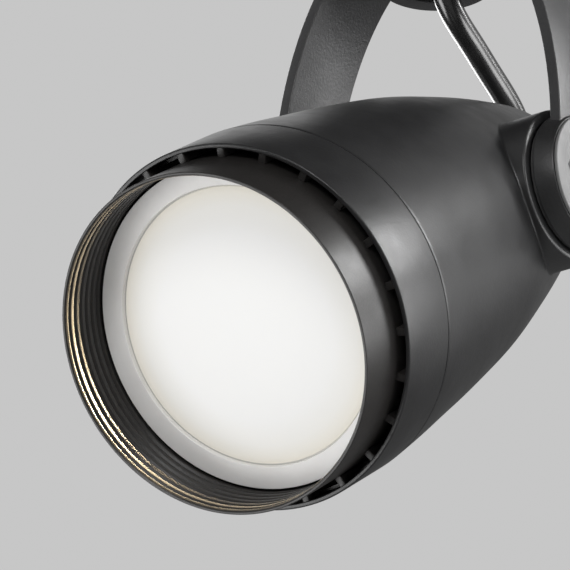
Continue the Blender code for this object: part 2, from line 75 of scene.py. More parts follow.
RIGHT = Vector((1.0, 0.0, 0.0))
BACK = Vector((0.0, 1.0, 0.0))
UP = Vector((0.0, 0.0, 1.0))
FORWARD = Vector((0.0, -math.cos(TILT), -math.sin(TILT)))
ABOVE = Vector((0.0, -math.sin(TILT), math.cos(TILT)))


def place(x_axis, y_axis, z_axis, origin):
    """Matrix that puts local axes on the given directions at an origin (mm)."""
    turn = Matrix((x_axis, y_axis, z_axis)).transposed().to_4x4()
    return Matrix.Translation(origin) @ turn


# HEAD has x to the right, y above and z forward along the optical axis; PAN is square to the world
HEAD = place(RIGHT, FORWARD.cross(RIGHT), FORWARD, PIVOT)
PAN = Matrix.Translation(PIVOT)


def pivot_frame(side):
    """Local z runs outward along the tilt axis on one side."""
    out = RIGHT * side
    return place(UP.cross(out), UP, out, PIVOT)


# ---------------------------------------------------------------- camera

CAMERA_PLACE = Vector((0.67008, -0.95208, -0.64032))  # metres
CAMERA_AZIMUTH = math.radians(37.294)
CAMERA_ELEVATION = math.radians(-22.920)
FOCAL_LENGTH = 284.2
SENSOR_WIDTH = 36.0

across = Vector((math.cos(CAMERA_AZIMUTH), math.sin(CAMERA_AZIMUTH), 0.0))
backward = Vector((
    math.sin(CAMERA_AZIMUTH) * math.cos(CAMERA_ELEVATION),
    -math.cos(CAMERA_AZIMUTH) * math.cos(CAMERA_ELEVATION),
    math.sin(CAMERA_ELEVATION),
))
camera_data = bpy.data.cameras.new("camera")
camera_data.lens = FOCAL_LENGTH
camera_data.sensor_width = SENSOR_WIDTH
camera_data.clip_start = 0.05
camera = bpy.data.objects.new("camera", camera_data)
camera.matrix_world = place(across, backward.cross(across), backward, CAMERA_PLACE)
bpy.context.scene.collection.objects.link(camera)
bpy.context.scene.camera = camera

# ---------------------------------------------------------------- node materials

NOISE_ROUGHNESS = 0.55
LENS_RIM_R = 38.4
# the lens's colour runs from milky white at this radius to a band of painted warm shade near LENS_RIM_R. The
# band stands in for shade and for warm light reflected from the baffles. The last stop is a painted shade
# line at the edge next to the retainer.
PAINTED_SHADE_START_R = 26.0
LENS_TONES_AND_PAINTED_SHADE = [
    (0.0, (0.53, 0.53, 0.525)), (0.55, (0.525, 0.52, 0.5)), (0.95, (0.51, 0.49, 0.44)),
    (0.975, (0.3, 0.295, 0.28)),
]
# emission strength of the lens: a painted glow that brightens it in place of light falling on it
LENS_PAINTED_GLOW = 0.57
# sizes of the finishes' patches and waves
COAT_GRAIN = 0.75
TONE_DRIFT = 14.0
PEEL_WAVE = 3.5
TONE_SPOT = 8.0
GLOSS_SPOT = 3.2


class Finish:
    """Builds one node material."""

    def __init__(self, name):
        self.made = bpy.data.materials.new("finish_" + name)
        self.made.use_nodes = True
        self.tree = self.made.node_tree
        self.shader = self.tree.nodes["Principled BSDF"]
        self.coords = self.tree.nodes.new("ShaderNodeTexCoord")

    def node(self, kind, inputs=None, **settings):
        made = self.tree.nodes.new("ShaderNode" + kind)
        for key, value in settings.items():
            setattr(made, key, value)
        for key, value in (inputs or {}).items():
            if isinstance(value, bpy.types.NodeSocket):
                self.tree.links.new(value, made.inputs[key])
            else:
                made.inputs[key].default_value = value
        return made

    def noise(self, size, detail=3.0):
        """Fractal noise whose features are about size millimetres."""
        return self.node("TexNoise", {
            "Vector": self.coords.outputs["Object"], "Scale": 1.0 / (size * MM), "Detail": detail,
            "Roughness": NOISE_ROUGHNESS,
        }).outputs["Fac"]

    def line_noise(self, value, pitch):
        """Noise along one coordinate (mm), whose lines are about pitch millimetres apart."""
        return self.node("TexNoise", {
            "W": self.maths("MULTIPLY", value, 1.0 / pitch), "Scale": 1.0, "Detail": 3.0,
        }, noise_dimensions="1D").outputs["Fac"]

    def spread(self, value, low, high, start=0.3, end=0.7):
        """Maps a value from start..end to low..high."""
        return self.node("MapRange", {
            "Value": value, "From Min": start, "From Max": end, "To Min": low, "To Max": high,
        }).outputs["Result"]

    def ramp(self, value, stops):
        made = self.node("ValToRGB", {"Fac": value})
        elements = made.color_ramp.elements
        while len(elements) < len(stops):
            elements.new(0.5)
        for element, (position, colour) in zip(elements, stops):
            element.position = position
            element.color = (*colour, 1.0)
        return made.outputs["Color"]

    def blend(self, factor, first, second, mode="MIX"):
        made = self.node("Mix", data_type="RGBA", blend_type=mode)
        for index, value in ((0, factor), (6, first), (7, second)):
            if isinstance(value, bpy.types.NodeSocket):
                self.tree.links.new(value, made.inputs[index])
            elif index == 0:
                made.inputs[index].default_value = value
            else:
                made.inputs[index].default_value = (*value, 1.0)
        return made.outputs[2]

    def maths(self, operation, first, second):
        return self.node("Math", {0: first, 1: second}, operation=operation).outputs["Value"]

    def bump(self, height, distance, strength=1.0, normal=None):
        inputs = {"Height": height, "Distance": distance * MM, "Strength": strength}
        if normal is not None:
            inputs["Normal"] = normal
        return self.node("Bump", inputs).outputs["Normal"]

    def put(self, **sockets):
        """Sets or links sockets of the shader by name, with _ for a space."""
        for key, value in sockets.items():
            socket = self.shader.inputs[key.replace("_", " ")]
            if isinstance(value, bpy.types.NodeSocket):
                self.tree.links.new(value, socket)
            elif isinstance(value, tuple):
                socket.default_value = (*value, 1.0)
            else:
                socket.default_value = value
        return self.made


def powder_coat(name, dark, light, roughness, relief):
    """Satin black powder coat: fine orange peel over a slow drift in tone."""
    made = Finish(name)
    fine = made.noise(COAT_GRAIN, 2.0)
    tone = made.blend(made.spread(made.noise(TONE_DRIFT, 2.0), 0.0, 1.0), dark, light)
    speck = made.spread(fine, 0.9, 1.1)
    tone = made.blend(1.0, tone, made.node("CombineColor", {
        "Red": speck, "Green": speck, "Blue": speck}).outputs["Color"], "MULTIPLY")
    peel = made.bump(fine, relief)
    wave = made.bump(made.noise(PEEL_WAVE, 1.0), relief * 0.6, 1.0, peel)
    rough = made.spread(made.noise(6.0, 3.0), roughness - 0.03, roughness + 0.03)
    return made.put(Base_Color=tone, Roughness=rough, Normal=wave)


def mottled(name, dark, light, metallic, roughness, grain, relief):
    """General finish: two tones in soft patches, uneven gloss and a fine grain."""
    made = Finish(name)
    tone = made.blend(made.spread(made.noise(TONE_SPOT, 4.0), 0.0, 1.0), dark, light)
    rough = made.spread(made.noise(GLOSS_SPOT, 3.0), roughness * 0.88, roughness * 1.12)
    return made.put(Base_Color=tone, Metallic=metallic, Roughness=rough,
                    Normal=made.bump(made.noise(grain, 3.0), relief))


def coordinate_of(made, frame_matrix, axis):
    """Socket with one local coordinate, in millimetres, of the shaded point."""
    row = (Matrix.Diagonal((MM, MM, MM, 1.0)) @ frame_matrix).inverted()[axis]
    dot = made.node("VectorMath", {0: made.coords.outputs["Object"], 1: Vector(row[:3])},
                    operation="DOT_PRODUCT").outputs["Value"]
    return made.maths("ADD", dot, row[3])


def radius_of(made, frame_matrix):
    """Socket with the distance, in millimetres, from the local z axis."""
    flat = made.node("CombineXYZ", {
        "X": coordinate_of(made, frame_matrix, 0), "Y": coordinate_of(made, frame_matrix, 1),
    }).outputs["Vector"]
    return made.node("VectorMath", {0: flat}, operation="LENGTH").outputs["Value"]


def turned(name, dark, light, metallic, roughness, pitch, relief, frame_matrix):
    """Metal with fine lathe rings about the local z axis of a frame."""
    made = Finish(name)
    rings = made.line_noise(radius_of(made, frame_matrix), pitch)
    tone = made.blend(made.spread(rings, 0.0, 1.0), dark, light)
    rough = made.spread(made.noise(4.0, 3.0), roughness * 0.85, roughness * 1.15)
    return made.put(Base_Color=tone, Metallic=metallic, Roughness=rough,
                    Normal=made.bump(rings, relief))


def lens_painted_light_finish():
    """Frosted diffuser: milky white, with a band of painted warm shade near the edge, a painted shade line at
    the rim, and a painted glow by emission in place of light falling on it.
    """
    made = Finish("frosted_lens")
    tone = made.ramp(made.spread(radius_of(made, HEAD), 0.0, 1.0, PAINTED_SHADE_START_R, LENS_RIM_R), LENS_TONES_AND_PAINTED_SHADE)
    frost = made.noise(0.35, 3.0)
    rough = made.spread(frost, 0.52, 0.66)
    return made.put(Base_Color=tone, Roughness=rough, Emission_Color=tone, Emission_Strength=LENS_PAINTED_GLOW,
                    Specular_IOR_Level=0.25, Normal=made.bump(frost, 0.01))


def baffle_finish():
    """Black anodised baffles, machined with fine rings."""
    made = Finish("black_anodised")
    rings = made.line_noise(coordinate_of(made, HEAD, 2), 0.4)
    grain = made.noise(0.5, 3.0)
    tone = made.blend(made.spread(grain, 0.0, 1.0), (0.011, 0.0105, 0.01), (0.022, 0.02, 0.019))
    rough = made.spread(made.noise(5.0, 3.0), 0.32, 0.4)
    peel = made.bump(grain, 0.004)
    return made.put(Base_Color=tone, Roughness=rough, Specular_IOR_Level=0.4,
                    Normal=made.bump(rings, 0.004, 0.5, peel))


def sheath_finish():
    """Glossy black outer sheath of the flex, with soft patches in tone and gloss."""
    made = Finish("flex_sheath")
    tone = made.blend(made.spread(made.noise(6.0, 3.0), 0.0, 1.0), (0.009, 0.009, 0.009),
                      (0.016, 0.016, 0.016))
    rough = made.spread(made.noise(8.0, 2.0), 0.2, 0.24)
    return made.put(Base_Color=tone, Roughness=rough, Specular_IOR_Level=1.0)


def circuit_finish():
    """Green solder mask with a hatch of tracks."""
    made = Finish("circuit_board")
    brick = made.node("TexBrick", {
        "Vector": made.coords.outputs["Object"], "Scale": 260.0, "Mortar Size": 0.06,
        "Color1": (0.02, 0.12, 0.05, 1.0), "Color2": (0.025, 0.16, 0.07, 1.0),
        "Mortar": (0.10, 0.30, 0.12, 1.0),
    }).outputs["Color"]
    return made.put(Base_Color=brick, Roughness=made.spread(made.noise(2.0), 0.35, 0.5),
                    Normal=made.bump(made.noise(0.8), 0.02))


BLACK_COAT = powder_coat("black_powder_coat", (0.013, 0.013, 0.0135), (0.018, 0.018, 0.0185), 0.35, 0.036)
YOKE_COAT = powder_coat("yoke_powder_coat", (0.024, 0.024, 0.025), (0.031, 0.031, 0.032), 0.34, 0.07)
BAFFLE = baffle_finish()
WHITE = mottled("white_retainer_plastic", (0.71, 0.7, 0.69), (0.75, 0.745, 0.735), 0.0, 0.42, 0.6, 0.008)
LENS_WHITE = lens_painted_light_finish()
DISC_SILVER = turned("brushed_aluminium", (0.15, 0.15, 0.15), (0.18, 0.18, 0.18), 0.2, 0.5, 0.35,
                     0.006, pivot_frame(1))
SILVER = mottled("cast_aluminium", (0.5, 0.5, 0.5), (0.62, 0.62, 0.62), 1.0, 0.42, 0.6, 0.02)
STEEL = mottled("zinc_steel", (0.42, 0.42, 0.43), (0.56, 0.56, 0.55), 1.0, 0.34, 0.8, 0.012)
DARK_STEEL = mottled("blackened_steel", (0.035, 0.035, 0.036), (0.07, 0.07, 0.07), 0.9, 0.36, 0.6, 0.014)
RUBBER = mottled("black_rubber", (0.014, 0.014, 0.014), (0.024, 0.024, 0.023), 0.0, 0.7, 0.45, 0.03)
SHEATH = sheath_finish()
SILICONE = mottled("silicone_gasket", (0.4, 0.4, 0.39), (0.5, 0.5, 0.48), 0.0, 0.55, 0.8, 0.02)
MIRROR = mottled("bright_reflector", (0.78, 0.78, 0.79), (0.9, 0.9, 0.9), 1.0, 0.16, 3.0, 0.02)
PHOSPHOR = mottled("led_phosphor", (0.85, 0.62, 0.12), (0.95, 0.76, 0.25), 0.0, 0.6, 0.4, 0.03)
CERAMIC = mottled("led_board_white", (0.74, 0.74, 0.72), (0.84, 0.84, 0.82), 0.0, 0.48, 0.5, 0.01)
PAD = mottled("thermal_pad_grey", (0.28, 0.28, 0.3), (0.38, 0.38, 0.4), 0.0, 0.8, 0.4, 0.04)
NYLON = mottled("black_nylon", (0.02, 0.02, 0.02), (0.034, 0.034, 0.034), 0.0, 0.55, 0.7, 0.02)
TERMINAL = mottled("terminal_nylon", (0.68, 0.67, 0.62), (0.78, 0.77, 0.72), 0.0, 0.46, 0.8, 0.02)
BOARD = circuit_finish()
COPPER = mottled("contact_copper", (0.6, 0.32, 0.18), (0.78, 0.47, 0.28), 1.0, 0.32, 0.8, 0.012)
COIL = mottled("coil_tape_yellow", (0.66, 0.5, 0.1), (0.8, 0.64, 0.18), 0.0, 0.5, 0.8, 0.02)
CAN = mottled("capacitor_sleeve", (0.03, 0.04, 0.1), (0.05, 0.06, 0.15), 0.0, 0.34, 0.8, 0.01)

# ---------------------------------------------------------------- mesh helpers


def piece(name, vertices, faces, finish, matrix, body, nodes, sharp=CREASE):
    """A mesh piece from millimetre vertices in a local frame, riding on a body in place of CAD nodes."""
    mesh = bpy.data.meshes.new(name)
    mesh.from_pydata([tuple((matrix @ Vector(v)) * MM) for v in vertices], [], faces)
    work = bmesh.new()
    work.from_mesh(mesh)
    bmesh.ops.recalc_face_normals(work, faces=work.faces)
    work.to_mesh(mesh)
    work.free()
    made = bpy.data.objects.new(name, mesh)
    bpy.context.scene.collection.objects.link(made)
    return dress(made, finish, body, nodes, sharp)


def dress(made, finish, body, nodes, sharp=CREASE):
    """Smooth shading, finish, body and replaced nodes of a piece."""
    mesh = made.data
    mesh.polygons.foreach_set("use_smooth", [True] * len(mesh.polygons))
    mesh.set_sharp_from_angle(angle=math.radians(sharp))
    mesh.materials.clear()
    mesh.materials.append(finish)
    if body:
        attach(made, body)
    if nodes:
        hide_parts(*nodes)
    return made


def turn_points(profile, segments):
    """Vertices and faces of a surface of revolution about local z from (station, radius) pairs.

    A radius may be a function of the angle. Ends of radius 0 close on the axis; otherwise the profile
    is a closed loop.
    """
    capped = profile[0][1] == 0.0 and profile[-1][1] == 0.0
    vertices = []
    rings = []
    for station, radius in profile:
        if radius == 0.0:
            rings.append([len(vertices)])
            vertices.append((0.0, 0.0, station))
            continue
        rings.append(list(range(len(vertices), len(vertices) + segments)))
        for i in range(segments):
            turn = 2.0 * math.pi * i / segments
            r = radius(turn) if callable(radius) else radius
            vertices.append((r * math.cos(turn), r * math.sin(turn), station))
    pairs = list(zip(rings, rings[1:]))
    if not capped:
        pairs.append((rings[-1], rings[0]))
    faces = []
    for a, b in pairs:
        for i in range(segments):
            j = (i + 1) % segments
            if len(a) == 1:
                faces.append((a[0], b[i], b[j]))
            elif len(b) == 1:
                faces.append((a[i], b[0], a[j]))
            else:
                faces.append((a[i], b[i], b[j], a[j]))
    return vertices, faces


def bands(levels, count):
    """Quads between successive closed rings of count vertices."""
    faces = []
    for level in range(levels - 1):
        for i in range(count):
            j = (i + 1) % count
            a = level * count
            faces.append((a + i, a + j, a + count + j, a + count + i))
    return faces


def ring_face(level, count):
    """One flat face over a whole ring."""
    return tuple(range(level * count, (level + 1) * count))


def lathe(name, profile, finish, matrix, body, nodes, segments=FINE, sharp=CREASE):
    """A piece turned about the local z axis."""
    vertices, faces = turn_points(profile, segments)
    return piece(name, vertices, faces, finish, matrix, body, nodes, sharp)


def rounded(points, radii, steps=4, closed=True):
    """Outline of (a, b) points with its corners rounded; radii holds one radius for all or one each."""
    if not isinstance(radii, (list, tuple)):
        radii = [radii] * len(points)
    count = len(points)
    found = []
    for i, (point, radius) in enumerate(zip(points, radii)):
        if radius <= 0.0 or (not closed and i in (0, count - 1)):
            found.append(tuple(point))
            continue
        here = Vector(point)
        before = Vector(points[i - 1]) - here
        after = Vector(points[(i + 1) % count]) - here
        reach = min(radius / math.tan(before.angle(after) / 2.0), before.length * 0.49,
                    after.length * 0.49)
        start = here + before.normalized() * reach
        end = here + after.normalized() * reach
        for k in range(steps + 1):
            t = k / steps
            found.append(tuple(start * (1 - t) ** 2 + here * (2 * t * (1 - t)) + end * t * t))
    return found


def spline_through(keys, places):
    """Points at the given chord lengths on a natural cubic spline through the keys."""
    keys = np.array([tuple(k) for k in keys], float)
    spans = np.linalg.norm(np.diff(keys, axis=0), axis=1)
    at = np.concatenate([[0.0], np.cumsum(spans)])
    count = len(at)
    matrix = np.eye(count)
    right = np.zeros(keys.shape)
    for i in range(1, count - 1):
        before = spans[i - 1]
        after = spans[i]
        matrix[i, i - 1] = before
        matrix[i, i] = 2.0 * (before + after)
        matrix[i, i + 1] = after
        right[i] = 6.0 * ((keys[i + 1] - keys[i]) / after - (keys[i] - keys[i - 1]) / before)
    bend = np.linalg.solve(matrix, right)
    found = []
    for now in places(at[-1]):
        k = min(int(np.searchsorted(at, now, side="right")) - 1, count - 2)
        span = spans[k]
        a = (at[k + 1] - now) / span
        b = 1.0 - a
        line = a * keys[k] + b * keys[k + 1]
        found.append(line + ((a**3 - a) * bend[k] + (b**3 - b) * bend[k + 1]) * span * span / 6.0)
    return np.array(found)


def tube(centres, radii, segments):
    """Vertices and faces of a closed round bar along centres that lie in the lamp's middle plane."""
    vertices = []
    count = len(centres)
    for i, (centre, radius) in enumerate(zip(centres, radii)):
        along = centres[min(i + 1, count - 1)] - centres[max(i - 1, 0)]
        across_it = RIGHT.cross(along.normalized())
        for k in range(segments):
            turn = 2.0 * math.pi * k / segments
            vertices.append(centre + (RIGHT * math.cos(turn) + across_it * math.sin(turn)) * radius)
    return vertices, [ring_face(0, segments), ring_face(count - 1, segments)] + bands(count, segments)


# ---------------------------------------------------------------- flex

CORD_R = 3.7
CORD_END_CHAMFER = 0.25
TAIL_BEND_R = 16.9
TAIL_BEND_CENTRE = Vector((0.0, 25.6, 37.2))
SWIVEL_ROUTE = (
    (1.6, 115.6), (1.6, 103.0), (1.5, 92.0), (1.6, 83.0), (3.5, 75.6), (8.6, 69.1), (16.9, 63.5),
    (26.4, 57.2),
)
TAIL_BEND_DEGREES = (50, 28, 6, -16, -38, -56)
HEAD_ROUTE = ((-30.0, -0.6), (-16.0, -0.3), (-4.0, 0.0), (7.7, 0.0))


def head_point(station, above):
    """Point in the lamp's middle plane, from the tilt axis."""
    return FORWARD * station + ABOVE * above


def tail_bend_point(degrees):
    angle = math.radians(degrees)
    return (TAIL_BEND_CENTRE + BACK * (TAIL_BEND_R * math.cos(angle))
            + UP * (TAIL_BEND_R * math.sin(angle)))


route_keys = [Vector((0.0, y, z)) for y, z in SWIVEL_ROUTE]
route_keys += [tail_bend_point(degrees) for degrees in TAIL_BEND_DEGREES]
route_keys += [head_point(station, above) for station, above in HEAD_ROUTE]


def flex_route(count):
    """Points at equal steps along the flex's centre line."""
    return [Vector(p) for p in spline_through(route_keys, lambda whole: np.linspace(0.0, whole, count))]


route = flex_route(240)
end_r = CORD_R - CORD_END_CHAMFER
flex_vertices, flex_faces = tube(route, [end_r] + [CORD_R] * (len(route) - 2) + [end_r], 72)
flex = piece("flex_lead", flex_vertices, flex_faces, SHEATH, PAN, None, ["supply_flex"])
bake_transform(flex)

# ---------------------------------------------------------------- lamp head shell

TAIL_S = -52.0
SEAM_S = 88.0
BOSS_R = 22.0
BOSS_FACE_X = 43.9
BOSS_FILLET = 0.7
BOSS_STEPS = 6
BEVEL_WIDE = 1.25
BEVEL_DEEP = 0.6
WASHER_R = 19.6
WASHER_RECESS = 0.5
EGG = [
    (TAIL_S, 10.2), (-51.3, 13.8), (-49.4, 17.4), (-46.4, 20.6), (-41.0, 24.6),
    (-31.0, 28.5), (-20.6, 31.7), (-10.6, 34.5), (-0.6, 37.0), (9.4, 39.4), (19.4, 41.5),
    (29.4, 43.1), (39.4, 44.5), (49.4, 45.8), (61.0, 47.1), (74.0, 48.6), (SEAM_S, 49.9),
]
egg_curve = spline_through(EGG, lambda whole: np.linspace(0.0, whole, 120))


def egg_radius(station):
    """Radius of the egg at a station along the optical axis."""
    return float(np.interp(station, egg_curve[:, 0], egg_curve[:, 1]))


shell_profile = [(TAIL_S, 0.0), (TAIL_S, 4.0)] + [tuple(p) for p in egg_curve[:-1]]
shell_profile += [(SEAM_S - 0.25, 49.87), (SEAM_S - 0.06, 49.8), (SEAM_S, 49.62), (SEAM_S, 47.3)]
shell_profile += [(74.0, 46.1), (61.0, 44.5), (50.0, 43.3), (50.0, 41.0), (20.0, 38.7), (-0.6, 34.2),
                  (-20.6, 28.9), (-41.0, 21.3), (-49.0, 9.6), (-49.0, 0.0)]
lathe("housing_shell", shell_profile, BLACK_COAT, HEAD, "lamp_head", ["rear_housing"])


def on_egg(radius, turn):
    """Distance of the egg's surface from the middle plane, at a point round the tilt axis."""
    wide = egg_radius(radius * math.cos(turn))
    above = radius * math.sin(turn)
    return math.sqrt(max(wide * wide - above * above, 0.0))


def boss_rings():
    """Rings (radius, height above the middle plane) of a boss that grows out of the egg."""
    rings = []
    for k in range(BOSS_STEPS + 1):
        t = k / BOSS_STEPS
        radius = (1 - t) ** 2 * (BOSS_R + BOSS_FILLET) + (1 - (1 - t) ** 2) * BOSS_R

        def height(turn, t=t):
            start = on_egg(BOSS_R + BOSS_FILLET, turn) - 0.02
            corner = on_egg(BOSS_R, turn)
            end = corner + BOSS_FILLET
            return (1 - t) ** 2 * start + 2 * t * (1 - t) * corner + t * t * end

        rings.append((radius, height))
    for k in range(BOSS_STEPS + 1):
        angle = 0.5 * math.pi * k / BOSS_STEPS
        rings.append((BOSS_R - BEVEL_WIDE + BEVEL_WIDE * math.cos(angle),
                      BOSS_FACE_X - BEVEL_DEEP + BEVEL_DEEP * math.sin(angle)))
    floor_x = BOSS_FACE_X - WASHER_RECESS
    rings += [(WASHER_R, BOSS_FACE_X), (WASHER_R, floor_x), (4.0, floor_x)]
    return rings


def boss(side, word):
    """Round pivot boss on one side of the egg."""
    rings = boss_rings()
    vertices = []
    for radius, height in rings:
        for i in range(ROUND):
            turn = 2.0 * math.pi * i / ROUND
            out = height(turn) if callable(height) else height
            point = head_point(radius * math.cos(turn), radius * math.sin(turn)) + RIGHT * (side * out)
            vertices.append(point)
    faces = bands(len(rings), ROUND) + [ring_face(len(rings) - 1, ROUND)]
    piece(f"housing_boss_{word}", vertices, faces, BLACK_COAT, PAN, "lamp_head", [])


for side, word in SIDES:
    boss(side, word)

collar_profile = rounded([
    (88.3, 46.4), (88.3, 49.9), (109.4, 50.0), (109.4, 48.7), (98.6, 48.7), (98.6, 46.5),
    (89.6, 46.5), (89.6, 44.6), (83.0, 44.6), (83.0, 46.4),
], [0.1, 0.16, 0.45, 0.3, 0.2, 0.2, 0.1, 0.2, 0.2, 0.1])
lathe("collar_ring", collar_profile, BLACK_COAT, HEAD, "lamp_head", ["front_collar"])

# ---------------------------------------------------------------- snoot, vent ribs, lens

SNOOT_R = 46.2
SNOOT_FRONT_S = 125.1
BAFFLES = 7
BAFFLE_STEP = 0.15
BAFFLE_PITCH = 2.7
FIRST_CREST_S = 124.45
CREST_R = 45.0
VALLEY_R = 45.65
CAP_HALF = 0.6
CAP_DROP = 0.07


def baffle_radius(station):
    """Bore radius of the snoot: softly rounded crests with V-shaped valleys between them."""
    turns = (FIRST_CREST_S - station) / BAFFLE_PITCH
    away = abs(turns - round(turns)) * BAFFLE_PITCH
    if away < CAP_HALF:
        return CREST_R + CAP_DROP * (away / CAP_HALF) ** 2
    slope = (VALLEY_R - CREST_R - CAP_DROP) / (BAFFLE_PITCH / 2.0 - CAP_HALF)
    return CREST_R + CAP_DROP + slope * (away - CAP_HALF)


LIP_R = 45.15
LIP_SLOPE_S = 124.7
snoot_profile = [(90.0, 44.9), (90.0, SNOOT_R)]
snoot_profile += rounded([
    (100.0, SNOOT_R), (SNOOT_FRONT_S, SNOOT_R), (SNOOT_FRONT_S, LIP_R + 0.4), (LIP_SLOPE_S, LIP_R),
    (FIRST_CREST_S, LIP_R - 0.02),
], [0.0, 0.22, 0.1, 0.0, 0.0], closed=False)
LAST_BAFFLE_S = FIRST_CREST_S - BAFFLES * BAFFLE_PITCH
snoot_profile += [
    (station, baffle_radius(station))
    for station in np.arange(FIRST_CREST_S - BAFFLE_STEP, LAST_BAFFLE_S, -BAFFLE_STEP)
]
snoot_profile += [(104.5, 44.9)]
lathe("snoot_sleeve", snoot_profile, BAFFLE, HEAD, "lamp_head", ["snoot_tube"],
      FINE, 60.0)

RIBS = 24
RIB_HALF_WIDTH = 1.1
RIB_IN_R = 46.25
RIB_OUT_R = 48.75
RIB_BACK_S = 99.0
RIB_FRONT_S = 109.1


def vent_rib(index):
    """One short rib across the vent gap, with rounded corners."""
    turn = 2.0 * math.pi * index / RIBS
    outline = rounded([
        (RIB_IN_R, -RIB_HALF_WIDTH), (RIB_OUT_R, -RIB_HALF_WIDTH), (RIB_OUT_R, RIB_HALF_WIDTH),
        (RIB_IN_R, RIB_HALF_WIDTH),
    ], 0.15, 3)
    levels = ((RIB_BACK_S, 0.0), (RIB_FRONT_S - 0.35, 0.0), (RIB_FRONT_S - 0.1, 0.1), (RIB_FRONT_S, 0.35))
    vertices = []
    for station, inset in levels:
        shrink = 1.0 - inset / RIB_HALF_WIDTH
        for r, wide in outline:
            w = wide * shrink
            vertices.append((r * math.cos(turn) - w * math.sin(turn),
                             r * math.sin(turn) + w * math.cos(turn), station))
    count = len(outline)
    faces = [ring_face(0, count), ring_face(len(levels) - 1, count)] + bands(len(levels), count)
    return vertices, faces


rib_vertices, rib_faces = turn_points([(99.0, 47.8), (99.0, 48.6), (103.0, 48.6), (103.0, 47.8)], FINE)
for i in range(RIBS):
    vertices, faces = vent_rib(i)
    offset = len(rib_vertices)
    rib_vertices += vertices
    rib_faces += [tuple(v + offset for v in face) for face in faces]
piece("vent_ribs", rib_vertices, rib_faces, BAFFLE, HEAD, "lamp_head", ["vent_spacer"])

lathe("retainer_ring", rounded([
    (107.75, 38.45), (107.9, 44.5), (100.4, 44.4), (100.4, 40.1), (106.3, 40.1), (106.3, 38.3),
], [0.2, 0.2, 0.1, 0.1, 0.1, 0.1]), WHITE, HEAD, "lamp_head", ["lens_retainer"])


def dome(radius):
    """Station of the lens's front face at a radius."""
    return 108.7 - 2.0 * (radius / 38.0) ** 2


lens_profile = [(dome(0.0), 0.0)] + [(dome(r), r) for r in np.linspace(1.5, 37.5, 30)]
lens_profile += [(106.5, 37.85), (106.2, 37.9), (106.0, 37.95), (106.0, 39.8), (104.2, 39.8), (104.2, 37.0),
                 (105.2, 26.0), (106.2, 0.0)]
lens = lathe("lens_dome", lens_profile, LENS_WHITE, HEAD, "lamp_head", ["diffuser_lens"])

# ---------------------------------------------------------------- yoke

BAR_W = 25.8
BAR_T = 3.4
BAR_EDGE_R = 0.35
ARCH_Z = 16.1
ARCH_HALF_X = 50.0
ARCH_RISE = 84.0
ARCH_STEPS = 150
DRUM_R = 20.0
DRUM_RIM_R = 18.5
DRUM_IN_X = 45.0
DRUM_OUT_X = 51.0
DISC_R = 18.1
DISC_FACE_X = 52.1
DISC_EDGE_R = 0.3
POCKET_R = 12.6
BOLT_R = 11.9
SOCKET_R = 3.5


def yoke_bar():
    """Flat bar bent to half an ellipse, swept with a rounded rectangular section."""
    leg_x = ARCH_HALF_X - BAR_T / 2
    middle = [(leg_x, z) for z in np.linspace(0.0, ARCH_Z, 8)[:-1]]
    middle += [
        (leg_x * math.cos(math.pi * i / ARCH_STEPS),
         ARCH_Z + (ARCH_RISE - BAR_T / 2) * math.sin(math.pi * i / ARCH_STEPS))
        for i in range(ARCH_STEPS + 1)
    ]
    middle += [(-leg_x, z) for z in np.linspace(ARCH_Z, 0.0, 8)[1:]]
    section = rounded([
        (-BAR_T / 2, -BAR_W / 2), (BAR_T / 2, -BAR_W / 2), (BAR_T / 2, BAR_W / 2), (-BAR_T / 2, BAR_W / 2),
    ], BAR_EDGE_R, 4)
    vertices = []
    for i, (x, z) in enumerate(middle):
        ahead = middle[min(i + 1, len(middle) - 1)]
        behind = middle[max(i - 1, 0)]
        along = Vector((ahead[0] - behind[0], 0.0, ahead[1] - behind[1])).normalized()
        outward = along.cross(BACK) * -1.0
        if outward.dot(Vector((x, 0.0, z))) < 0.0:
            outward = -outward
        for thick, wide in section:
            vertices.append(Vector((x, 0.0, z)) + outward * thick + BACK * wide)
    count = len(section)
    faces = [ring_face(0, count), ring_face(len(middle) - 1, count)] + bands(len(middle), count)
    return vertices, faces


bar_vertices, bar_faces = yoke_bar()
piece("yoke_arch", bar_vertices, bar_faces, YOKE_COAT, PAN, "yoke_frame", ["yoke"])


def hexagon(corner, growth=0.0):
    """Radius of a hexagon with its corners at multiples of 60 degrees, as a function of the angle."""
    flat = corner * math.cos(math.pi / 6.0) + growth

    def radius(turn):
        local = (turn % (math.pi / 3.0)) - math.pi / 6.0
        return flat / math.cos(local)

    return radius


def drum_profile():
    """Yoke's end drum: a slight cone with rounded rims, a hexagonal pocket and the bolt's hole."""
    outside = rounded([
        (DRUM_IN_X, DRUM_R - 1.5), (DRUM_IN_X, DRUM_R), (DRUM_OUT_X, DRUM_RIM_R),
        (DRUM_OUT_X, DRUM_RIM_R - 1.0),
    ], [0.0, 0.5, 0.3, 0.0], 5, closed=False)
    return outside + [
        (DRUM_OUT_X, hexagon(POCKET_R, 0.25)), (DRUM_OUT_X - 0.25, hexagon(POCKET_R)),
        (47.5, hexagon(POCKET_R)), (47.5, 4.3), (DRUM_IN_X, 4.3),
    ]


def disc_profile():
    """Cover disc on the drum, with a rounded rim and the same hexagonal opening."""
    profile = [(DRUM_OUT_X + 0.1, DISC_R - 0.1), (DRUM_OUT_X + 0.25, DISC_R)]
    for k in range(5):
        angle = 0.5 * math.pi * k / 4
        profile.append((DISC_FACE_X - DISC_EDGE_R + DISC_EDGE_R * math.sin(angle),
                        DISC_R - DISC_EDGE_R + DISC_EDGE_R * math.cos(angle)))
    return profile + [
        (DISC_FACE_X, hexagon(POCKET_R, 0.2)), (DISC_FACE_X - 0.2, hexagon(POCKET_R)),
        (DRUM_OUT_X + 0.1, hexagon(POCKET_R)),
    ]


